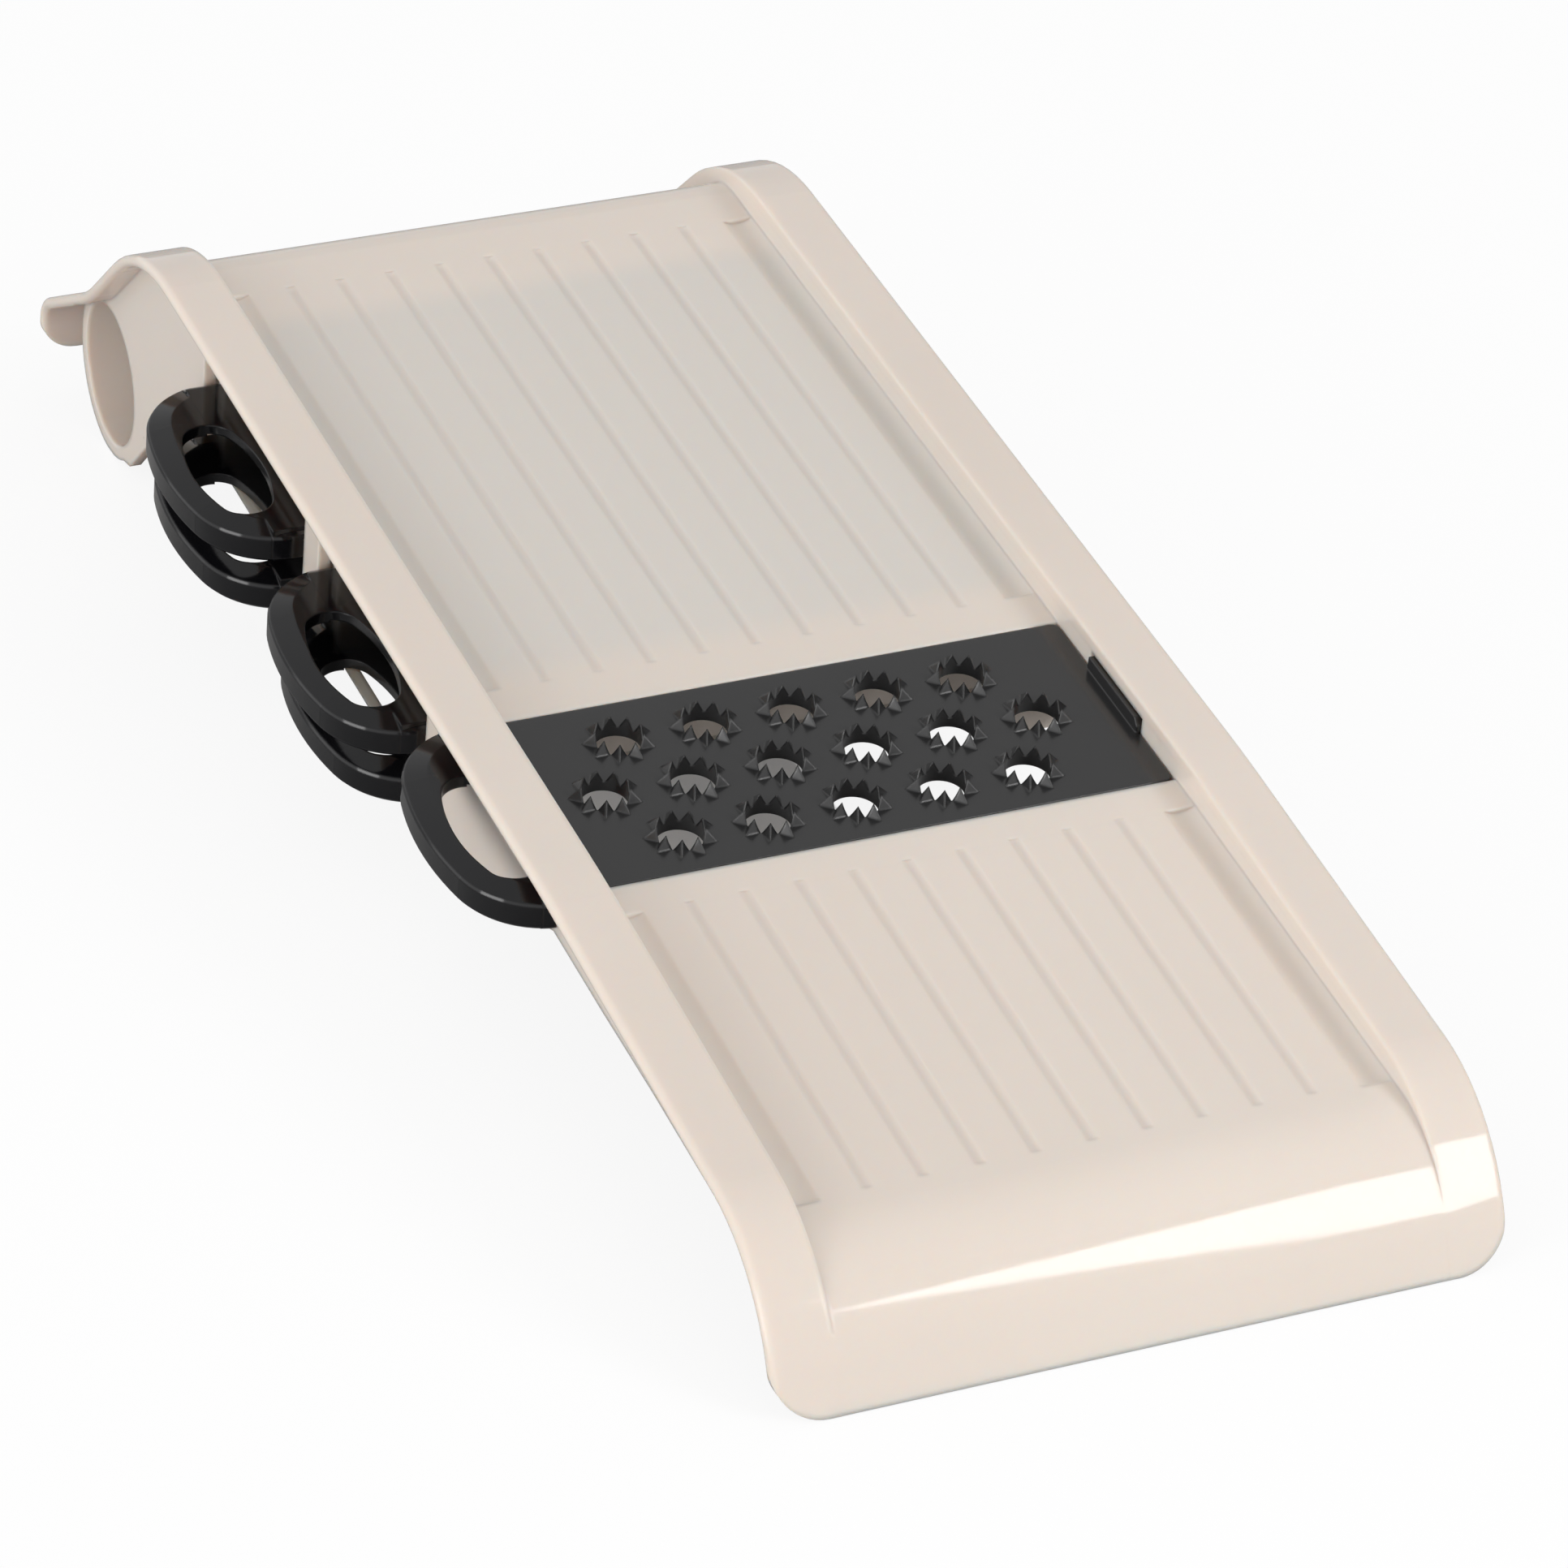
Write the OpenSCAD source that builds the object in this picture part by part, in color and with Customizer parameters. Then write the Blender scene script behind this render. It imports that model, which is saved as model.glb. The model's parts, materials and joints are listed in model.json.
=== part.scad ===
// Mandoline slicer: one moulded deck with raised side rails and a tubular rear foot, a toothed grater insert
// in its opening and four more cutting inserts stored in two racks under the deck.
// Y runs from the front lip to the rear foot, X across the deck, Z up. Millimetres.

/* [Body] */
// Width over both rails
body_w = 125; // [110:0.5:140]
// Length over the front lip and the rear flange
body_l = 353; // [330:0.5:380]
// Wall thickness of the moulding
shell_t = 2.2; // [1.6:0.1:2.6]
// Width of the flat top of a rail
rail_w = 10.8; // [8:0.1:14]
// Height of a rail above the deck
rail_h = 5.4; // [4.5:0.1:7]
// Slope of the deck
deck_slope = 5.96; // [4:0.01:8]
// Height of the deck above the table at its middle
deck_mid_z = 38.2; // [34:0.1:42]
// Slope of the front lip
lip_slope = 70.4; // [60:0.1:80]
// Inset of the side walls from the rail edge
wall_inset = 5; // [3:0.1:7]
// Depth of the side walls below the deck
wall_depth = 21.8; // [20:0.1:26]

/* [Deck] */
// Pitch of the drain grooves
groove_pitch = 9.5; // [7:0.1:12]
// Width of a drain groove
groove_w = 2.2; // [1:0.1:3]
// Depth of a drain groove
groove_d = 0.25; // [0.2:0.05:0.8]
// Depth of the two side gutters
gutter_d = 0.8; // [0.5:0.1:1.4]

/* [Foot] */
// Outer radius of the foot tube
foot_r = 16.3; // [12:0.1:20]
// Wall of the foot tube
foot_t = 2.6; // [2:0.1:4]

/* [Inserts] */
// Length of an insert plate along the deck
plate_l = 46.1; // [40:0.1:52]
// Thickness of an insert plate
plate_t = 1.8; // [1.4:0.1:2.4]
// Gap around a sliding insert
slide_gap = 0.3; // [0.3:0.05:0.6]
// Reach of a finger ring beyond the centre line
ring_reach = 71.6; // [66:0.1:76]
// Height of a finger ring
ring_h = 6.4; // [4:0.1:7]
// Height difference of the two stored levels
level_pitch = 9.8; // [9.4:0.1:11]

/* [Grater] */
// Radius of a grater hole
hole_r = 4; // [3:0.1:4.5]
// Pitch of the holes across the deck
hole_pitch = 15.45; // [14:0.05:16]
// Pitch of the rows along the deck
row_pitch = 13.4; // [12:0.1:14]
// Teeth around a hole
teeth = 9; // [5:1:10]
// Height of a tooth
tooth_h = 2.3; // [1.5:0.1:2.6]
// Reach of a tooth outside its hole
tooth_reach = 2.3; // [1.5:0.1:2.8]

/* [Blades] */
// Thickness of the steel blades
blade_t = 0.5; // [0.4:0.05:0.8]
// Lift of the thin slicing blade
thin_lift = 1.2; // [0.8:0.1:1.6]
// Lift of the thick slicing blade
thick_lift = 2.4; // [1.8:0.1:2.8]

/* [Hidden] */
$fn = 72;
beige = [0.86, 0.82, 0.77];
black = [0.13, 0.13, 0.14];
steel = [0.75, 0.76, 0.78];

half_w = body_w / 2;
rail_in = half_w - rail_w;
wall_out = half_w - wall_inset;
wall_in = wall_out - shell_t;
web_out = rail_in + shell_t;
mid_y = 150;
back_slope = 28;
drop_slope = 40.4;
flange_z = 9.5;
back_z = 19.4;
sub = 3;

// a point of the deck line at a given y, and where two sloped lines meet
function deck_z(y) = deck_mid_z + (y - mid_y) * tan(deck_slope);
function meet_y(p, a, q, b) = (q[1] - p[1] + p[0] * tan(a) - q[0] * tan(b)) / (tan(a) - tan(b));
function meet(p, a, q, b) = [meet_y(p, a, q, b), p[1] + (meet_y(p, a, q, b) - p[0]) * tan(a)];

// the side view of the rail top and of the deck top: corners with their fillet radii
rise = rail_h / cos(deck_slope);
back = [body_l, back_z];
knee_y = 97;
crest_y = body_l - 57;
rail_knee_y = knee_y + 1.8;
rail_crest_y = crest_y + 0.2;
rail_knee = [rail_knee_y, deck_z(rail_knee_y) + rise];
rail_crest = [rail_crest_y, deck_z(rail_crest_y) + rise];
deck_knee = [knee_y, deck_z(knee_y)];
deck_crest = [crest_y, deck_z(crest_y)];
rail_dip = meet(rail_crest, -drop_slope, back, -back_slope);
deck_dip = meet(deck_crest, -drop_slope, back, -back_slope);
lip_start = [-sub / tan(lip_slope), -sub];
rail_lip_z = 24.5;
deck_lip_z = 20.7;
rail_path = [[lip_start[0], lip_start[1], 0], [rail_lip_z / tan(lip_slope), rail_lip_z, 30.3],
             [rail_knee[0], rail_knee[1], 200], [rail_crest[0], rail_crest[1], 40],
             [rail_dip[0], rail_dip[1], 38.5], [back[0], back[1], 7.4], [back[0], flange_z, 0]];
deck_path = [[lip_start[0], lip_start[1], 0], [deck_lip_z / tan(lip_slope), deck_lip_z, 22],
             [deck_knee[0], deck_knee[1], 200], [deck_crest[0], deck_crest[1], 12],
             [deck_dip[0], deck_dip[1], 40], [back[0], back[1], 7.4], [back[0], flange_z, 0]];

// headings, turns, tangent lengths and points of a filleted path
function hdg(p, i) = atan2(p[i + 1][1] - p[i][1], p[i + 1][0] - p[i][0]);
function turn(p, i) = hdg(p, i) - hdg(p, i - 1);
function tl(p, i) = (i <= 0 || i >= len(p) - 1) ? 0 : p[i][2] * tan(abs(turn(p, i)) / 2);
function run(p, i) = norm([p[i + 1][0] - p[i][0], p[i + 1][1] - p[i][1]]) - tl(p, i) - tl(p, i + 1);
function after(p, i) = [p[i][0] + tl(p, i) * cos(hdg(p, i)), p[i][1] + tl(p, i) * sin(hdg(p, i))];
function before(p, i) = [p[i][0] - tl(p, i) * cos(hdg(p, i - 1)), p[i][1] - tl(p, i) * sin(hdg(p, i - 1))];
function up(h) = [-sin(h), cos(h)];
// a point at fraction f of the fillet at corner i, lifted by n from the path
function on_fillet(p, i, f, n) =
    let (s = sign(turn(p, i)), c = before(p, i) + s * p[i][2] * up(hdg(p, i - 1)))
    c - (s * p[i][2] - n) * up(hdg(p, i - 1) + f * turn(p, i));
function fillet_pts(p, i, n, a, b, k) = [for (j = [0:k]) on_fillet(p, i, a + (b - a) * j / k, n)];

// sweep a section, drawn as x across and y up from the path, along straights and bends
module straight(l) translate([0, l, 0]) rotate([90, 0, 0]) linear_extrude(l) children();
module bend_down(r, a)
    translate([0, 0, -r]) rotate([0, -90, 0]) rotate_extrude(angle = a, $fn = 96)
        translate([r, 0]) rotate(-90) children();
module bend(r, a) {
    if (a < 0) bend_down(r, -a) children();
    else mirror([0, 0, 1]) bend_down(r, a) mirror([0, 1]) children();
}
// the first child is the section of the straights, which run on a little into the bends; the second, a hair
// thinner, is the section of the bends
module follow(p) {
    on = 0.02;
    for (i = [0:len(p) - 2])
        translate([0, after(p, i)[0], after(p, i)[1]]) rotate([hdg(p, i), 0, 0])
            translate([0, -on, 0]) straight(run(p, i) + 2 * on) children(0);
    for (i = [1:len(p) - 2])
        translate([0, before(p, i)[0], before(p, i)[1]]) rotate([hdg(p, i - 1), 0, 0])
            bend(p[i][2], turn(p, i)) children(1);
}
// extrude a side view, drawn as y and z, across from x0 to x1
module across(x0, x1) translate([x0, 0, 0]) rotate([90, 0, 90]) linear_extrude(x1 - x0) children();
// the frame of the sloped deck, with its origin on the deck's middle, and of the flatter front deck
module on_deck() translate([0, mid_y, deck_mid_z]) rotate([deck_slope, 0, 0]) children();
module on_front() translate([0, deck_knee[0], deck_knee[1]]) rotate([hdg(deck_path, 1), 0, 0]) children();
module box(x0, x1, y0, y1, z0, z1) translate([x0, y0, z0]) cube([x1 - x0, y1 - y0, z1 - z0]);
module both_sides() {
    children();
    mirror([1, 0, 0]) children();
}

// ---- insert positions: centre along the deck, height of the plate top, slide offset
use_s = -24.95;
bay_s = [96.7, 37.2];
// the rack stands upright, so its lower level sits this far to the front
lean = level_pitch * tan(deck_slope);
top_n = -9.4;
low_n = top_n - level_pitch;
bay_half = plate_l / 2 + slide_gap;
slot_half = bay_half + 2.3;
guide_d = 1.15;
guide_w = 3.4;
opening = [use_s - plate_l / 2 - slide_gap, use_s + plate_l / 2 + slide_gap];
plate_end = rail_in - slide_gap;
tab_l = 19;
tab_x = 3;
tab_h = 2.4;
tab_s = use_s + 0.3;

// ---- the moulded body
hair = 0.012;
lip_corner_r = 9;
back_corner_r = 6.5;
module rail_section(e) {
    edge_r = shell_t / 2;
    translate([rail_in + e, -shell_t + e]) square([rail_w - edge_r - e, shell_t - 2 * e]);
    translate([half_w - edge_r, -edge_r]) circle(edge_r - e, $fn = 24);
}
module deck_section(e) {
    reach = rail_in + shell_t / 2 - e;
    translate([-reach, -shell_t + e]) square([2 * reach, shell_t - 2 * e]);
}
module web_shape() {
    n = -shell_t / 2;
    polygon(concat(
        fillet_pts(rail_path, 1, n, 0.35, 1, 8),
        fillet_pts(rail_path, 2, n, 0, 1, 1),
        fillet_pts(rail_path, 3, n, 0, 1, 8),
        [before(rail_path, 4) + n * up(hdg(rail_path, 3))],
        [after(deck_path, 4) + n * up(hdg(deck_path, 4))],
        fillet_pts(deck_path, 4, n, 1, 0, 2),
        fillet_pts(deck_path, 3, n, 1, 0, 4),
        fillet_pts(deck_path, 2, n, 1, 0, 1),
        fillet_pts(deck_path, 1, n, 1, 0.35, 6)));
}
foot_c = [body_l - 27.3, foot_r - 0.1];
skirt_end_y = crest_y - 12.3;
skirt_start_y = 136;
skirt_end = [skirt_end_y, deck_z(skirt_end_y) - wall_depth / cos(deck_slope)];
skirt_start = [skirt_start_y, deck_z(skirt_start_y) - wall_depth / cos(deck_slope)];
module wall_shape() {
    n = -shell_t / 2;
    polygon(concat(
        fillet_pts(rail_path, 1, n, 0.4, 1, 8),
        fillet_pts(rail_path, 2, n, 0, 1, 1),
        fillet_pts(rail_path, 3, n, 0, 1, 8),
        [before(rail_path, 4) + n * up(hdg(rail_path, 3))],
        [[foot_c[0], foot_c[1] + foot_r - 0.8], foot_c, [foot_c[0] - 4.7, 1.3],
         [foot_c[0] - 11, 2.3], [foot_c[0] - 21.9, 12.4], skirt_end, skirt_start,
         [104, 25.6], [83, 23], [62, 20.8], [37, 17.5], [22, 14.8], [11, 14]]));
}
// the tube ends inside the rear slope, so nothing of it stands above that slope
module foot() {
    mid = back + (-shell_t / 2) * up(-back_slope);
    across(-wall_out, wall_out) intersection() {
        translate(foot_c) circle(foot_r, $fn = 120);
        polygon([mid, mid - 70 * [cos(back_slope), -sin(back_slope)], [mid[0] - 70, -2], [mid[0], -2]]);
    }
}
module foot_bore() {
    translate([-half_w, foot_c[0], foot_c[1]]) rotate([0, 90, 0])
        cylinder(h = body_w, r = foot_r - foot_t, $fn = 120);
}
// shelf under one edge of the insert opening, s running into the opening
module ledge_shape() {
    polygon([[-3.2, -4], [2.8, -4], [2.8, -plate_t - slide_gap], [0, -plate_t - slide_gap], [0, -1.2], [-3.2, -1.2]]);
}
module ledges() {
    on_deck() {
        translate([0, opening[0], 0]) across(-wall_in - 0.1, web_out - 0.1) ledge_shape();
        translate([0, opening[1], 0]) mirror([0, 1, 0]) across(-wall_in - 0.1, web_out - 0.1) ledge_shape();
    }
}
module guides() {
    gi = bay_half - guide_d;
    foot_n = low_n - plate_t - slide_gap - 0.8;
    head_n = -shell_t + 0.8;
    function at(s, n) = [s + lean * (n - top_n) / level_pitch, n];
    on_deck() for (s = bay_s, d = [-1, 1])
        across(-wall_in + 0.5, wall_in + 0.1)
            polygon([at(s + d * gi, head_n), at(s + d * (gi + guide_w), head_n),
                     at(s + d * (gi + guide_w), foot_n), at(s + d * gi, foot_n)]);
}
module bay_cuts() {
    on_deck() for (s = bay_s) {
        for (level = [0, 1]) {
            c = s - level * lean;
            n = level == 0 ? top_n : low_n;
            box(-half_w, wall_in, c - bay_half, c + bay_half, n - plate_t - slide_gap, n + slide_gap);
            box(wall_in - 0.1, wall_out + 1, c - tab_l / 2 - 0.5, c + tab_l / 2 + 1.1,
                n - plate_t - slide_gap, n + tab_h + slide_gap);
        }
        box(-wall_out - 1, -wall_in + 0.1, s - lean - slot_half, s + slot_half,
            low_n - plate_t - slide_gap - 0.1, 1);
    }
}
module opening_cuts() {
    under_rail = rail_h - shell_t - 0.1;
    on_deck() {
        box(-half_w + 1, rail_in + 0.03, opening[0], opening[1], -plate_t - slide_gap, under_rail);
        box(-wall_in - 0.03, rail_in + 0.03, opening[0], opening[1], -shell_t - 1, 0.1);
        box(rail_in - 1, wall_in - 0.1, tab_s - tab_l / 2 - 0.5, tab_s + tab_l / 2 + 0.5,
            -shell_t - 1, tab_h + slide_gap);
    }
}
// a shallow round-bottomed channel along the deck
module channel(x, y0, y1, w, d) {
    r = (w * w / 4 + d * d) / (2 * d);
    translate([x, y1, 0]) rotate([90, 0, 0]) linear_extrude(y1 - y0) intersection() {
        translate([0, r - d]) circle(r, $fn = 96);
        translate([-w / 2, -d - 1]) square([w, d + 2]);
    }
}
module channels() {
    gutter_w = 5.8;
    rear_end = (crest_y - mid_y) / cos(deck_slope) - 13.8935;
    on_deck() {
        for (i = [-4:4]) channel(i * groove_pitch, 7.3, rear_end, groove_w, groove_d);
        for (d = [-1, 1]) channel(d * (rail_in - 0.1 - gutter_w / 2), 7.3, rear_end - 0.6, gutter_w, gutter_d);
    }
    on_front() {
        for (i = [-4:4]) channel(i * groove_pitch, -73.4, -2, groove_w, groove_d);
        for (d = [-1, 1]) channel(d * (rail_in - 0.1 - gutter_w / 2), -74.2, -2.4, gutter_w, gutter_d);
    }
}
// removes the square corner outside a radius, at the outer edge x = half_w, z = z0
module corner_cut(r, z0, y0, y1) {
    translate([half_w, y1, z0]) rotate([90, 0, 0]) linear_extrude(y1 - y0) difference() {
        translate([-r, -5]) square([r + 1, r + 5]);
        translate([-r, r]) circle(r);
    }
}
module body() color(beige) {
    difference() {
        union() {
            both_sides() {
                follow(rail_path) {
                    rail_section(0);
                    rail_section(hair);
                }
                across(rail_in + 2 * hair, web_out) web_shape();
                across(wall_in, wall_out) wall_shape();
            }
            follow(deck_path) {
                deck_section(2 * hair);
                deck_section(3 * hair);
            }
            foot();
            guides();
        }
        foot_bore();
        opening_cuts();
        bay_cuts();
        channels();
        both_sides() {
            corner_cut(lip_corner_r, 0, -5, lip_corner_r + 3);
            corner_cut(back_corner_r, flange_z, body_l - 6, body_l + 2);
        }
        box(-half_w - 1, half_w + 1, -10, body_l, -10, 0);
    }
    ledges();
}

// ---- the inserts, drawn with the plate top at n = 0 and the plate's middle at s = 0
ring_r = 15.2;
ring_c = 9.7;
ring_big = 60;
ring_s = 0.8;
ring_mid = ring_big - ring_reach;
ring_cx = ring_mid - sqrt(pow(ring_big - ring_r, 2) - pow(ring_c, 2));
ring_x = -wall_out - slide_gap - 2.1;
edge_h = 0.6;
edge_w = 0.3;
bevel_h = 1.2;
bevel_w = 4.2;
ring_top_t = 2.3;
ring_lap = asin(ring_c / (ring_big - ring_r));
// the rim's section, x measured from the outline: flat top, bevel, rounded edge and outer skirt
module ring_section(e) {
    edge = bevel_h + edge_h;
    polygon([[-6, -e], [-bevel_w, -e], [-edge_w - e, -bevel_h], [-e, -edge], [-e, 0.8 - ring_h],
             [-0.8, e - ring_h], [-2.6 + e, e - ring_h], [-2.6 + e, e - ring_top_t], [-6, e - ring_top_t]]);
}
module ring_rim() {
    on = 0.05;
    translate([ring_mid, 0, 0]) rotate([0, 0, 180 - ring_lap - on])
        rotate_extrude(angle = 2 * (ring_lap + on), $fn = 240) translate([ring_big, 0]) ring_section(0);
    for (d = [0, 1]) mirror([0, d, 0]) translate([ring_cx, ring_c, 0]) rotate([0, 0, 100])
        rotate_extrude(angle = 80 - ring_lap, $fn = 96) translate([ring_r, 0]) ring_section(hair);
}
// the flat inside the rim
module ring_flat() {
    inset = 5;
    h = ring_top_t - 2 * hair;
    a = ring_lap + 2;
    translate([0, 0, hair - ring_top_t]) {
        for (d = [-1, 1]) translate([ring_cx, d * ring_c, 0]) cylinder(h = h, r = ring_r - inset);
        intersection() {
            translate([ring_mid, 0, 0]) cylinder(h = h, r = ring_big - inset, $fn = 240);
            linear_extrude(3) polygon([[ring_mid, 0], [ring_mid - 70 * cos(a), -70 * sin(a)], [ring_mid - 80, 0],
                                       [ring_mid - 70 * cos(a), 70 * sin(a)]]);
        }
    }
}
// the finger hole is an oval of four arcs
finger_mid = [-61.1, -2.8];
finger_half = [6.4, 14.1];
finger_r = 4.8;
module finger_hole() {
    run_s = finger_half[1] - finger_r;
    big = (run_s * run_s + pow(finger_half[0], 2) - finger_r * finger_r) / (2 * (finger_half[0] - finger_r));
    join_s = run_s * big / (big - finger_r) - 0.4;
    translate([finger_mid[0], finger_mid[1], -ring_h - 1]) linear_extrude(ring_h + 2) {
        for (d = [-1, 1]) translate([0, d * run_s]) circle(finger_r, $fn = 48);
        intersection() {
            translate([big - finger_half[0], 0]) circle(big, $fn = 120);
            translate([finger_half[0] - big, 0]) circle(big, $fn = 120);
            translate([-10, -join_s]) square([20, 2 * join_s]);
        }
    }
}
module ring() {
    intersection() {
        translate([0, ring_s, 0]) {
            ring_rim();
            ring_flat();
        }
        box(-ring_reach - 1, ring_x, -30, 30, -ring_h - 1, 1);
    }
}
module plate() {
    r = 1.5;
    half = plate_l / 2;
    translate([0, 0, -plate_t]) linear_extrude(plate_t) {
        translate([ring_x, -half]) square([plate_end - r - ring_x, plate_l]);
        translate([plate_end - r, -half + r]) square([r, plate_l - 2 * r]);
        for (d = [-1, 1]) translate([plate_end - r, d * (half - r)]) circle(r, $fn = 32);
    }
    across(plate_end - 0.5, rail_in + tab_x)
        polygon([[-tab_l / 2, -plate_t], [tab_l / 2, -plate_t], [tab_l / 2, tab_h], [-tab_l / 2 + 1.2, tab_h],
                 [-tab_l / 2, tab_h - 1.2]]);
}
module place(s, n, dx = 0) on_deck() translate([dx, s, n]) children();

// a tooth stands on the rim: its outer ridge climbs from the plate to the tip above the hole's wall
module tooth() {
    a = atan2(tooth_h, tooth_reach);
    deep = 2.2;
    w = deep * 0.72;
    translate([hole_r + tooth_reach, 0, 0]) rotate([0, a - 90, 0]) translate([0, 0, -0.2])
        linear_extrude(norm([tooth_h, tooth_reach]) + 1.1) polygon([[0, 0], [-deep, w], [-deep, -w]]);
}
module crown() {
    for (i = [0:teeth - 1]) rotate(90 + i * 360 / teeth) tooth();
}
crown_at = concat([for (i = [0:4], r = [-1, 1]) [(i - 2) * hole_pitch, r * row_pitch]],
                  [for (i = [0:5]) [(i - 2.5) * hole_pitch, 0]]);
module grater_shape() {
    cx = -1.9;
    cs = -0.55;
    difference() {
        union() {
            plate();
            ring();
            for (p = crown_at) translate([cx + p[0], cs + p[1], 0]) crown();
        }
        for (p = crown_at) translate([cx + p[0], cs + p[1], -plate_t - 1])
            cylinder(h = plate_t + tooth_h + 3, r = hole_r, $fn = 40);
        finger_hole();
    }
}
module grater_insert() color(black) place(use_s, 0) grater_shape();

// slicing inserts: a window with a steel blade on a ramp behind it
blade_l = 88;
blade_w = 14;
window_l = 82;
window_s = [-5, 6];
module blade_shape(lift) {
    translate([0, window_s[1] - 3, lift]) rotate([-atan2(lift, blade_w + 2), 0, 0])
        across(-blade_l / 2, blade_l / 2) polygon([[0, -blade_t], [blade_w, -blade_t], [blade_w, 0], [1.6, 0]]);
}
module slicer_shape(lift) {
    difference() {
        union() {
            plate();
            ring();
            across(-blade_l / 2 - 2, blade_l / 2 + 2)
                polygon([[window_s[1], -plate_t], [window_s[1] + blade_w + 1, -plate_t],
                         [window_s[1] + blade_w, 0], [window_s[1] - 0.1, lift - 0.1]]);
        }
        box(-window_l / 2, window_l / 2, window_s[0], window_s[1], -plate_t - 1, 1);
        blade_shape(lift);
        box(-blade_l / 2, blade_l / 2, window_s[1] - 3, window_s[1], 0, lift + 1);
        finger_hole();
    }
}
// julienne comb: a strip of steel with upright cutters, let into the plate in front of the window
comb_s = window_s[0] - 2.2;
module comb_shape(pitch, h) {
    n = floor((window_l - 4) / pitch / 2);
    translate([0, comb_s, 0]) rotate([90, 0, 0]) linear_extrude(0.8, center = true) {
        translate([-window_l / 2, -1.2]) square([window_l, 1.2]);
        for (i = [-n:n]) translate([i * pitch - 0.4, -0.6]) square([0.8, h + 0.6]);
    }
}
comb_h = 2.1;
module julienne_shape(pitch) {
    difference() {
        slicer_shape(comb_h);
        comb_shape(pitch, comb_h);
    }
}
fine_pitch = 4;
coarse_pitch = 8;
// [bay centre, level, how far the insert is pushed in]
thin_at = [bay_s[0], top_n, -2];
thick_at = [bay_s[0] - lean, low_n, -0.6];
fine_at = [bay_s[1], top_n, -0.6];
coarse_at = [bay_s[1] - lean, low_n, 2];
module stored(at) place(at[0], at[1], at[2]) children();
module thin_slicer_frame() color(black) stored(thin_at) slicer_shape(thin_lift);
module thin_blade() color(steel) stored(thin_at) blade_shape(thin_lift);
module thick_slicer_frame() color(black) stored(thick_at) slicer_shape(thick_lift);
module thick_blade() color(steel) stored(thick_at) blade_shape(thick_lift);
module fine_julienne_frame() color(black) stored(fine_at) julienne_shape(fine_pitch);
module fine_blade() color(steel) stored(fine_at) blade_shape(comb_h);
module fine_comb() color(steel) stored(fine_at) comb_shape(fine_pitch, comb_h);
module coarse_julienne_frame() color(black) stored(coarse_at) julienne_shape(coarse_pitch);
module coarse_blade() color(steel) stored(coarse_at) blade_shape(comb_h);
module coarse_comb() color(steel) stored(coarse_at) comb_shape(coarse_pitch, comb_h);

// the origin lies under the middle of the whole object
ring_out = ring_reach + 2;
home = [(ring_out - half_w) / 2, -body_l / 2, 0];
translate(home) body();
translate(home) grater_insert();
translate(home) thin_slicer_frame();
translate(home) thin_blade();
translate(home) thick_slicer_frame();
translate(home) thick_blade();
translate(home) fine_julienne_frame();
translate(home) fine_blade();
translate(home) fine_comb();
translate(home) coarse_julienne_frame();
translate(home) coarse_blade();
translate(home) coarse_comb();
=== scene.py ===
"""Mandoline slicer: materials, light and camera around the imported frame. Metres, +Z up."""

import json
import math

import bpy
from mathutils import Matrix, Vector


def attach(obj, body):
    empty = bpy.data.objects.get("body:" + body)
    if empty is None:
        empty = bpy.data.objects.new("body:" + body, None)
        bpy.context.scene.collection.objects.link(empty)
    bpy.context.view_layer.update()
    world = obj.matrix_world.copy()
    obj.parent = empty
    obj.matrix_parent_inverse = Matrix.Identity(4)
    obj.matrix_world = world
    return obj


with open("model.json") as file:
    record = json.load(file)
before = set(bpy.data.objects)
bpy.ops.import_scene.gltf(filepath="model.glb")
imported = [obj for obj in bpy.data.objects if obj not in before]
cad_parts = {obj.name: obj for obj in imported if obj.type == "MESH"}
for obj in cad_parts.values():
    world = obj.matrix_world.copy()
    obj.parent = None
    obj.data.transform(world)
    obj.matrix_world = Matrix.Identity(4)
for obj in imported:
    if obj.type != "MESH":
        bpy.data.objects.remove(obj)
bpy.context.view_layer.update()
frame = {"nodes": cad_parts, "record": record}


# ---------------------------------------------------------------- measures shared with the part
HOME = Vector((0.00555, -0.1765, 0.0))    # from the part's own origin to the frame's
SLOPE = math.radians(5.96)                # slope of the deck
MID = Vector((0.0, 0.150, 0.0382)) + HOME   # places along and out of the deck start here
WALL_X = 0.0575                           # outer face of the side walls, before HOME
GROOVE_PITCH, GROOVE_W = 0.0095, 0.0028
GROOVES_HALF = 4.3                        # pitches from the middle to past the last groove
GROOVE_RUNS = ((0.0245, 0.095), (0.158, 0.281))   # their two stretches along Y, before HOME
REAR_DECK = (0.010, 0.122)                # the deck above the stored inserts, along from MID, which has painted shade
REAR_DECK_EDGES = (0.0535, 0.049)         # where its painted shade starts and is full, across


# ---------------------------------------------------------------- node and mesh helpers
def material(name):
    m = bpy.data.materials.new(name)
    m.use_nodes = True
    nt = m.node_tree
    nt.nodes.clear()
    out = nt.nodes.new("ShaderNodeOutputMaterial")
    bsdf = nt.nodes.new("ShaderNodeBsdfPrincipled")
    nt.links.new(bsdf.outputs["BSDF"], out.inputs["Surface"])
    return m, nt, bsdf


def node(nt, kind, **values):
    n = nt.nodes.new(kind)
    for key, value in values.items():
        if key in n.inputs:
            n.inputs[key].default_value = value
        else:
            setattr(n, key, value)
    return n


def link(nt, a, b):
    nt.links.new(a, b)


def math_node(nt, op, a, b=None):
    n = node(nt, "ShaderNodeMath", operation=op)
    for i, v in enumerate((a, b)):
        if v is None:
            continue
        if isinstance(v, (int, float)):
            n.inputs[i].default_value = v
        else:
            link(nt, v, n.inputs[i])
    return n.outputs[0]


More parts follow.
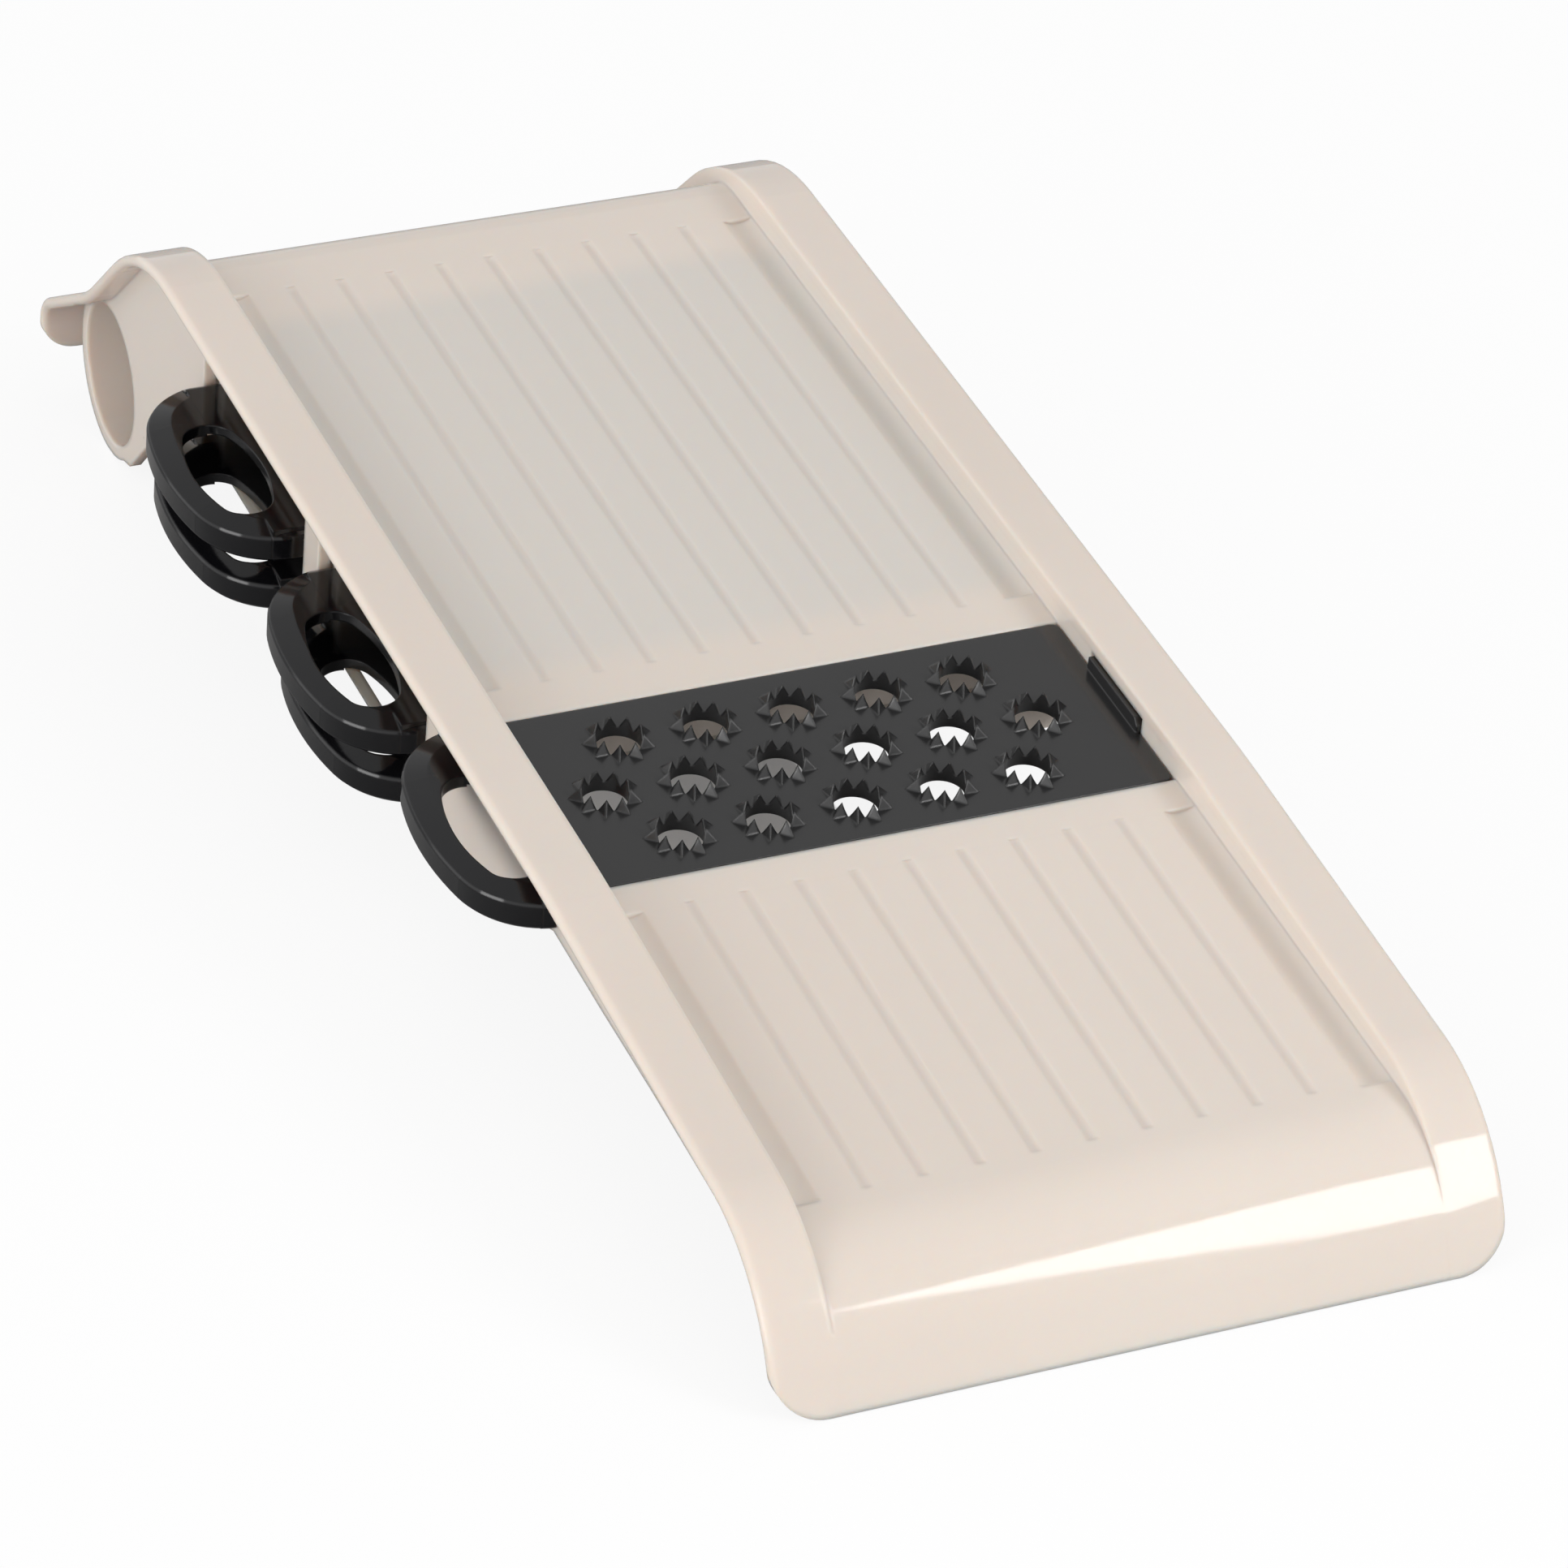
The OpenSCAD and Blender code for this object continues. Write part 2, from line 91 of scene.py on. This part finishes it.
def scaled(nt, value, by, plus):
    """value * by + plus"""
    return math_node(nt, "ADD", math_node(nt, "MULTIPLY", value, by), plus)


def mix_colour(nt, factor, a, b):
    n = node(nt, "ShaderNodeMix", data_type="RGBA")
    for socket, v in ((n.inputs["Factor"], factor), (n.inputs[6], a), (n.inputs[7], b)):
        if isinstance(v, tuple):
            socket.default_value = (*v, 1.0)
        else:
            link(nt, v, socket)
    return n.outputs[2]


def ramp(nt, value, low, high):
    n = node(nt, "ShaderNodeMapRange", interpolation_type="SMOOTHSTEP")
    n.inputs["From Min"].default_value = low
    n.inputs["From Max"].default_value = high
    link(nt, value, n.inputs["Value"])
    return n.outputs["Result"]


def band(nt, value, low, high, edge):
    """1 between low and high, with edges as wide as twice edge."""
    rise = ramp(nt, value, low - edge, low + edge)
    return math_node(nt, "MULTIPLY", rise, ramp(nt, value, high + edge, high - edge))


def from_middle(nt, x):
    """The distance across from the slicer's middle."""
    return math_node(nt, "ABSOLUTE", math_node(nt, "SUBTRACT", x, HOME.x))


def place_of(nt):
    coords = node(nt, "ShaderNodeTexCoord")
    parts = node(nt, "ShaderNodeSeparateXYZ")
    link(nt, coords.outputs["Object"], parts.inputs[0])
    return coords.outputs["Object"], parts.outputs


def noise(nt, vector, scale, detail=3.0, rough=0.55):
    n = node(nt, "ShaderNodeTexNoise", Scale=scale, Detail=detail, Roughness=rough)
    link(nt, vector, n.inputs["Vector"])
    return n.outputs["Fac"]


def bumped(nt, bsdf, height, strength, distance, bevel_r):
    bevel = node(nt, "ShaderNodeBevel", samples=6)
    bevel.inputs["Radius"].default_value = bevel_r
    bump = node(nt, "ShaderNodeBump", Strength=strength, Distance=distance)
    link(nt, height, bump.inputs["Height"])
    link(nt, bevel.outputs["Normal"], bump.inputs["Normal"])
    link(nt, bump.outputs["Normal"], bsdf.inputs["Normal"])


def add_mesh(name, verts, faces):
    mesh = bpy.data.meshes.new(name)
    mesh.from_pydata([tuple(v) for v in verts], [], faces)
    obj = bpy.data.objects.new(name, mesh)
    bpy.context.scene.collection.objects.link(obj)
    return obj


# ---------------------------------------------------------------- materials, colours linear
BEIGE = ((0.714, 0.640, 0.574), (0.732, 0.659, 0.594))
# painted shade of the deck above the stored inserts: darker and cooler
REAR_DECK_PAINTED_SHADE = (0.672, 0.630, 0.582)
# painted shade in the deck's grooves: darker and warmer bands
GROOVE_PAINTED_SHADE, GROOVE_SHADE_SHARE = (0.61, 0.53, 0.47), 0.32
BEIGE_SPECK, BEIGE_SPECK_SHARE = (0.42, 0.36, 0.31), 0.55
RING_BLACK = ((0.0036, 0.0036, 0.0044), (0.0056, 0.0056, 0.0066))
PLATE_BLACK = ((0.0150, 0.0148, 0.0152), (0.0190, 0.0188, 0.0192))
DUST, DUST_SHARE = (0.34, 0.32, 0.30), 0.5
STEEL = ((0.52, 0.53, 0.55), (0.66, 0.67, 0.69))
# painted light: paler than the deck, though it is the same moulding, for the light that reaches it
# through the thin deck; it is seen only in deep shade
RIB_PAINTED_LIGHT_BEIGE = ((0.90, 0.80, 0.71), (0.93, 0.84, 0.76))


def dots(nt, vector, scale, size, share):
    """Fine specks: one dot of the given size, in cells of 1 / scale, in a share of the cells."""
    cells = node(nt, "ShaderNodeTexVoronoi", Scale=scale)
    link(nt, vector, cells.inputs["Vector"])
    near = math_node(nt, "LESS_THAN", cells.outputs["Distance"], size * scale)
    pick = node(nt, "ShaderNodeSeparateColor")
    link(nt, cells.outputs["Color"], pick.inputs[0])
    return math_node(nt, "MULTIPLY", near, math_node(nt, "LESS_THAN", pick.outputs[0], share))


def groove_shade(nt, xyz):
    """Where the grooves' painted shade goes: 1 along the middle of each deck groove, 0 between the
    grooves.
    """
    across = math_node(nt, "DIVIDE", math_node(nt, "SUBTRACT", xyz[0], HOME.x), GROOVE_PITCH)
    nearest = math_node(nt, "ROUND", across)
    off = math_node(nt, "ABSOLUTE", math_node(nt, "SUBTRACT", across, nearest))
    line = ramp(nt, off, GROOVE_W / 2 / GROOVE_PITCH, 0.0)
    within = math_node(nt, "LESS_THAN", from_middle(nt, xyz[0]), GROOVES_HALF * GROOVE_PITCH)
    line = math_node(nt, "MULTIPLY", line, within)
    runs = [band(nt, xyz[1], HOME.y + low, HOME.y + high, 0.0008) for low, high in GROOVE_RUNS]
    return math_node(nt, "MULTIPLY", line, math_node(nt, "ADD", *runs))


def beige_plastic():
    m, nt, b = material("deck_moulding")
    at, xyz = place_of(nt)
    cloud = noise(nt, at, 9.0, 2.0)
    fine = noise(nt, at, 420.0, 4.0)
    colour = mix_colour(nt, ramp(nt, cloud, 0.35, 0.7), *BEIGE)
    # painted shade: the deck above the stored inserts is painted a little darker and cooler, as the
    # shade of the stored inserts under the thin deck
    along = [MID.y + d * math.cos(SLOPE) for d in REAR_DECK]
    shade = math_node(nt, "MULTIPLY", ramp(nt, xyz[1], along[0] - 0.004, along[0] + 0.006),
                      ramp(nt, xyz[1], along[1] + 0.005, along[1] - 0.004))
    shade = math_node(nt, "MULTIPLY", shade, ramp(nt, from_middle(nt, xyz[0]), *REAR_DECK_EDGES))
    colour = mix_colour(nt, shade, colour, REAR_DECK_PAINTED_SHADE)
    # painted shade along the middle of each groove
    groove_painted_shade = math_node(nt, "MULTIPLY", groove_shade(nt, xyz), GROOVE_SHADE_SHARE)
    colour = mix_colour(nt, groove_painted_shade, colour, GROOVE_PAINTED_SHADE)
    specks = math_node(nt, "MULTIPLY", dots(nt, at, 55.0, 0.00022, 0.3), BEIGE_SPECK_SHARE)
    colour = mix_colour(nt, specks, colour, BEIGE_SPECK)
    link(nt, colour, b.inputs["Base Color"])
    smear = ramp(nt, noise(nt, at, 28.0, 3.0), 0.42, 0.72)
    rough = scaled(nt, smear, 0.03, 0.045)
    rough = math_node(nt, "ADD", rough, math_node(nt, "MULTIPLY", fine, 0.02))
    link(nt, rough, b.inputs["Roughness"])
    b.inputs["IOR"].default_value = 1.49
    b.inputs["Subsurface Weight"].default_value = 0.75
    b.inputs["Subsurface Radius"].default_value = (1.0, 0.66, 0.46)
    b.inputs["Subsurface Scale"].default_value = 0.0028
    bumped(nt, b, fine, 0.02, 0.0002, 0.0012)
    return m


def black_plastic():
    m, nt, b = material("insert_moulding")
    at, xyz = place_of(nt)
    cloud = noise(nt, at, 30.0, 3.0)
    fine = noise(nt, at, 900.0, 3.0)
    # the ring, outside the wall, is polished; the plate has a satin face
    plate = ramp(nt, xyz[0], HOME.x - WALL_X - 0.0005, HOME.x - WALL_X + 0.0008)
    colour = mix_colour(nt, plate, mix_colour(nt, cloud, *RING_BLACK),
                        mix_colour(nt, cloud, *PLATE_BLACK))
    dust = math_node(nt, "MULTIPLY", dots(nt, at, 110.0, 0.00014, 0.35), DUST_SHARE)
    colour = mix_colour(nt, dust, colour, DUST)
    link(nt, colour, b.inputs["Base Color"])
    rough = scaled(nt, plate, 0.11, 0.07)
    rough = math_node(nt, "ADD", rough, math_node(nt, "MULTIPLY", fine, 0.05))
    link(nt, rough, b.inputs["Roughness"])
    b.inputs["IOR"].default_value = 1.52
    link(nt, scaled(nt, plate, 0.16, 0.38), b.inputs["Specular IOR Level"])
    bumped(nt, b, fine, 0.05, 0.0001, 0.0005)
    return m


def steel():
    m, nt, b = material("blade_steel")
    coords = node(nt, "ShaderNodeTexCoord")
    stretch = node(nt, "ShaderNodeMapping")
    stretch.inputs["Scale"].default_value = (12.0, 1400.0, 1400.0)
    link(nt, coords.outputs["Object"], stretch.inputs["Vector"])
    lines = noise(nt, stretch.outputs["Vector"], 1.0, 4.0)
    link(nt, mix_colour(nt, lines, *STEEL), b.inputs["Base Color"])
    b.inputs["Metallic"].default_value = 1.0
    link(nt, scaled(nt, lines, 0.14, 0.18), b.inputs["Roughness"])
    bumped(nt, b, lines, 0.08, 0.0001, 0.0001)
    return m


looks = {"deck_plastic": beige_plastic(), "insert_plastic": black_plastic(), "blade_steel": steel()}
slots = {s["node"]: s["material_slot"] for s in frame["record"]["subparts"]}
for name, obj in frame["nodes"].items():
    for s in obj.material_slots:
        s.material = looks[slots[name]]


# ---------------------------------------------------------------- rib under the deck
RIB_HALF = WALL_X - 0.0023                # to inside the wall, across from the middle
RIB_TOP, RIB_WEB_LOW, RIB_GUSSET_LOW = -0.0012, -0.0135, -0.0250   # out of the deck
RIB_FRONT, RIB_BACK = 0.0017, 0.0035      # along the deck
GUSSET_W, GUSSET_LEAN = 0.0110, 0.0030


def deck_point(x, s, n):
    """A point across, along and out of the sloped deck."""
    return MID + Vector((x, s * math.cos(SLOPE) - n * math.sin(SLOPE),
                         s * math.sin(SLOPE) + n * math.cos(SLOPE)))


def cross_rib():
    """The stiffening rib behind the grater's opening, seen through the rear row of holes: a web
    with a deeper gusset at each side wall."""
    right = [(RIB_HALF, RIB_TOP), (RIB_HALF, RIB_GUSSET_LOW), (RIB_HALF - GUSSET_W, RIB_GUSSET_LOW),
             (RIB_HALF - GUSSET_W - GUSSET_LEAN, RIB_WEB_LOW)]
    outline = right + [(-x, n) for x, n in right[::-1]]
    verts = [deck_point(x, s, n) for s in (RIB_FRONT, RIB_BACK) for x, n in outline]
    k = len(outline)
    faces = [tuple(range(k)), tuple(range(2 * k - 1, k - 1, -1))]
    faces += [(i, k + i, k + (i + 1) % k, (i + 1) % k) for i in range(k)]
    rib = add_mesh("cross_rib", verts, faces)
    rib.data.validate()
    m, nt, b = material("rib_moulding_painted_light")
    at, _ = place_of(nt)
    # painted light: the rib's colour is paler than the deck's
    link(nt, mix_colour(nt, noise(nt, at, 60.0), *RIB_PAINTED_LIGHT_BEIGE), b.inputs["Base Color"])
    link(nt, scaled(nt, noise(nt, at, 300.0), 0.1, 0.3), b.inputs["Roughness"])
    rib.data.materials.append(m)
    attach(rib, "body")


cross_rib()


# ---------------------------------------------------------------- ends of the finger rings
RING_ARC_R, RING_ARC_X, RING_ARC_S = 0.0152, -0.0553, 0.0097   # the rim's end arcs, before HOME
RING_SHIFT, RING_HALF = 0.0008, 0.0253    # the ring's shift along the deck, and half its width
RING_CUT_X = -0.0600                      # just past where the solid rim ends
RING_STEPS = 4
LOW_INSERT_N, LEAN = -0.015, 0.00102      # inserts lower than this stand this much forward
RIM = ((-0.0026, -0.00005), (-0.0003, -0.0012), (0.0, -0.0018), (0.0, -0.0056),
       (-0.0008, -0.0064), (-0.0026, -0.0064))   # its outer section: out from the outline, and up
# body: place along the deck, height, shift in X, where its rim may end. The coarse julienne's solid
# rim already ends at the wall.
INSERTS = {
    "grater": (-0.02495, 0.0, 0.0, -0.0578),
    "thin_slicer": (0.0967, -0.0094, -0.0020, -0.0552),
    "thick_slicer": (0.0967, -0.0192, -0.0006, -0.0578),
    "fine_julienne": (0.0372, -0.0094, -0.0006, -0.0552),
}


def ring_ends(body, middle_s, top_n, shift_x, end_x):
    """Carries both ends of an insert's rim on to the wall, along the same arcs."""
    verts, faces = [], []
    steps, k = RING_STEPS, len(RIM)
    s0 = middle_s - (LEAN if top_n < LOW_INSERT_N else 0.0)
    for side in (-1, 1):
        start = len(verts)
        for i in range(steps + 1):
            x = RING_CUT_X + (end_x - shift_x - RING_CUT_X) * i / steps
            reach = math.sqrt(RING_ARC_R ** 2 - (x - RING_ARC_X) ** 2)
            out_s = reach / RING_ARC_R
            for off, n in RIM:
                s = min(RING_ARC_S + reach + off * out_s, RING_HALF - side * RING_SHIFT + off)
                verts.append(deck_point(x + shift_x, s0 + RING_SHIFT + side * s, top_n + n))
        for i in range(steps):
            for j in range(k):
                a, b = start + i * k + j, start + i * k + (j + 1) % k
                quad = (a, b, b + k, a + k)
                faces.append(quad if side < 0 else quad[::-1])
        first = tuple(range(start, start + k))
        last = tuple(range(start + steps * k, start + (steps + 1) * k))
        faces += [first[::-1], last] if side < 0 else [first, last[::-1]]
    piece = add_mesh(body + "_ring_ends", verts, faces)
    piece.data.materials.append(looks["insert_plastic"])
    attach(piece, body)


for name, place in INSERTS.items():
    ring_ends(name, *place)


# ---------------------------------------------------------------- floor, world, light
FLOOR_HALF, FLOOR_DROP = 3.0, 0.0002
FLOOR_GLOW, SHADE_STRIP_GLOW = 0.88, 0.10       # the share of plain white that the camera sees
# painted shade: a fixed strip of floor under the slicer, before HOME, that hardly glows, so that
# the slicer's own shadow shows in it alone, and that is painted a little tan as warm shade, as what
# shows through the finger rings and holes
SHADE_STRIP_X, SHADE_STRIP_Y = (-0.036, 0.0186), (0.060, 0.330)
PAPER, PAINTED_SHADE_PAPER, PAPER_AS_LIGHT = (0.92, 0.92, 0.92), (0.86, 0.81, 0.77), (0.42, 0.42, 0.42)


def floor():
    """Pale paper. The camera sees it near white, and other rays see it darker; a strip under the
    slicer has painted shade.
    """
    h = FLOOR_HALF
    obj = add_mesh("floor", [(-h, -h, 0), (h, -h, 0), (h, h, 0), (-h, h, 0)], [(0, 1, 2, 3)])
    obj.location.z = -FLOOR_DROP
    m, nt, b = material("floor_paper")
    b.inputs["Roughness"].default_value = 0.9
    at, xyz = place_of(nt)
    # painted shade: the strip under the slicer hardly glows and is painted tan
    shade_strip = math_node(nt, "MULTIPLY",
                      band(nt, xyz[0], HOME.x + SHADE_STRIP_X[0], HOME.x + SHADE_STRIP_X[1], 0.0008),
                      band(nt, xyz[1], HOME.y + SHADE_STRIP_Y[0], HOME.y + SHADE_STRIP_Y[1], 0.012))
    seen = node(nt, "ShaderNodeLightPath").outputs["Is Camera Ray"]
    less = math_node(nt, "MULTIPLY", shade_strip, FLOOR_GLOW - SHADE_STRIP_GLOW)
    share = math_node(nt, "SUBTRACT", FLOOR_GLOW, less)
    paper_and_painted_shade = mix_colour(nt, shade_strip, PAPER, PAINTED_SHADE_PAPER)
    link(nt, mix_colour(nt, seen, PAPER_AS_LIGHT, paper_and_painted_shade), b.inputs["Base Color"])
    glow = node(nt, "ShaderNodeEmission")
    glow.inputs["Color"].default_value = (1, 1, 1, 1)
    mix = node(nt, "ShaderNodeMixShader")
    link(nt, math_node(nt, "MULTIPLY", seen, share), mix.inputs[0])
    link(nt, b.outputs["BSDF"], mix.inputs[1])
    link(nt, glow.outputs["Emission"], mix.inputs[2])
    out = next(n for n in nt.nodes if n.type == "OUTPUT_MATERIAL")
    link(nt, mix.outputs[0], out.inputs["Surface"])
    obj.data.materials.append(m)


floor()

WALLS = (1.12, 0.62, 0.10)                # level of the walls, and its fall toward +X and +Y
WALLS_LEAST, CEILING = 0.02, 0.72


def studio_world():
    """White light by direction: walls brightest at the left, and a dimmer ceiling."""
    world = bpy.data.worlds.new("studio")
    bpy.context.scene.world = world
    world.use_nodes = True
    nt = world.node_tree
    nt.nodes.clear()
    coords = node(nt, "ShaderNodeTexCoord")
    way = node(nt, "ShaderNodeSeparateXYZ")
    link(nt, coords.outputs["Generated"], way.inputs[0])
    x, y, z = way.outputs
    side = math_node(nt, "SUBTRACT", WALLS[0], math_node(nt, "MULTIPLY", x, WALLS[1]))
    side = math_node(nt, "SUBTRACT", side, math_node(nt, "MULTIPLY", y, WALLS[2]))
    side = math_node(nt, "MAXIMUM", side, WALLS_LEAST)
    high = math_node(nt, "MAXIMUM", z, 0.0)
    low = math_node(nt, "SUBTRACT", 1.0, high)
    above = math_node(nt, "MULTIPLY", math_node(nt, "MULTIPLY", high, high), CEILING)
    total = math_node(nt, "ADD", math_node(nt, "MULTIPLY", side, low), above)
    back = node(nt, "ShaderNodeBackground")
    back.inputs["Color"].default_value = (1.0, 1.0, 1.0, 1.0)
    link(nt, total, back.inputs["Strength"])
    white = node(nt, "ShaderNodeBackground")
    white.inputs["Color"].default_value = (1.0, 1.0, 1.0, 1.0)
    white.inputs["Strength"].default_value = 1.0
    path = node(nt, "ShaderNodeLightPath")
    mix = node(nt, "ShaderNodeMixShader")
    link(nt, path.outputs["Is Camera Ray"], mix.inputs[0])
    link(nt, back.outputs[0], mix.inputs[1])
    link(nt, white.outputs[0], mix.inputs[2])
    out = node(nt, "ShaderNodeOutputWorld")
    link(nt, mix.outputs[0], out.inputs["Surface"])


studio_world()

LIP_BEND = HOME + Vector((0.0, 0.007, 0.014))   # middle of the lip's bend, where the panel aims
LIGHT_DISTANCE = 1.6
PANEL_CORNERS = ((71.2, 41.0), (64.2, 15.0), (50.0, 14.0), (50.0, 57.0), (64.0, 53.0))
PANEL_STRENGTH = 8.0                      # makes the lip's highlight and lights the whole slicer
FILL_AZIMUTH, FILL_HEIGHT, FILL_SIDE, FILL_WATTS = 250.0, 9.0, 0.75, 9.5


def lit_panel(name, corners, distance, strength):
    """A flat many-sided softbox. Each corner is a direction from the lip, in degrees: its angle
    from +X, and its turn about X from the front upward."""
    ways = []
    for off, turn in corners:
        a, t = math.radians(off), math.radians(turn)
        ways.append(Vector((math.cos(a), -math.sin(a) * math.cos(t), math.sin(a) * math.sin(t))))
    middle = sum(ways, Vector()).normalized()
    at = [LIP_BEND + w * (distance / w.dot(middle)) for w in ways]
    obj = add_mesh(name, at, [tuple(range(len(at)))])
    m = bpy.data.materials.new(name)
    m.use_nodes = True
    nt = m.node_tree
    nt.nodes.clear()
    glow = node(nt, "ShaderNodeEmission", Strength=strength)
    out = node(nt, "ShaderNodeOutputMaterial")
    link(nt, glow.outputs[0], out.inputs["Surface"])
    obj.data.materials.append(m)
    obj.visible_camera = False
    obj.visible_shadow = False


def softbox(name, azimuth, height, distance, side, watts):
    """A square lamp aimed at the slicer; azimuth from +Y toward +X and height in degrees."""
    az, el = math.radians(azimuth), math.radians(height)
    way = Vector((math.sin(az) * math.cos(el), math.cos(az) * math.cos(el), math.sin(el)))
    lamp = bpy.data.lights.new(name, "AREA")
    lamp.shape = "SQUARE"
    lamp.size = side
    lamp.energy = watts
    obj = bpy.data.objects.new(name, lamp)
    bpy.context.scene.collection.objects.link(obj)
    obj.location = distance * way
    obj.rotation_euler = way.to_track_quat("Z", "Y").to_euler()


lit_panel("softbox", PANEL_CORNERS, LIGHT_DISTANCE, PANEL_STRENGTH)
softbox("left_fill", FILL_AZIMUTH, FILL_HEIGHT, LIGHT_DISTANCE, FILL_SIDE, FILL_WATTS)

# ---------------------------------------------------------------- camera
# solved from the photograph's straight edges
SENSOR_MM, LENS_MM = 36.0, 157.453
RIGHT = Vector((0.91730913, -0.3960625, 0.04096897))
DOWN = Vector((-0.17127076, -0.48536266, -0.85737355))
AHEAD = Vector((0.35945832, 0.7794598, -0.51306153))
EYE = Vector((-0.413158, -0.752371, 0.608804)) + HOME

cam = bpy.data.cameras.new("camera")
cam.sensor_width = SENSOR_MM
cam.lens = LENS_MM
cam.clip_start = 0.05
cam.clip_end = 20.0
cam_obj = bpy.data.objects.new("camera", cam)
bpy.context.scene.collection.objects.link(cam_obj)
cam_obj.matrix_world = Matrix.Translation(EYE) @ Matrix(
    [(RIGHT[i], -DOWN[i], -AHEAD[i]) for i in range(3)]).to_4x4()
bpy.context.scene.camera = cam_obj
bpy.context.scene.view_settings.view_transform = "Standard"
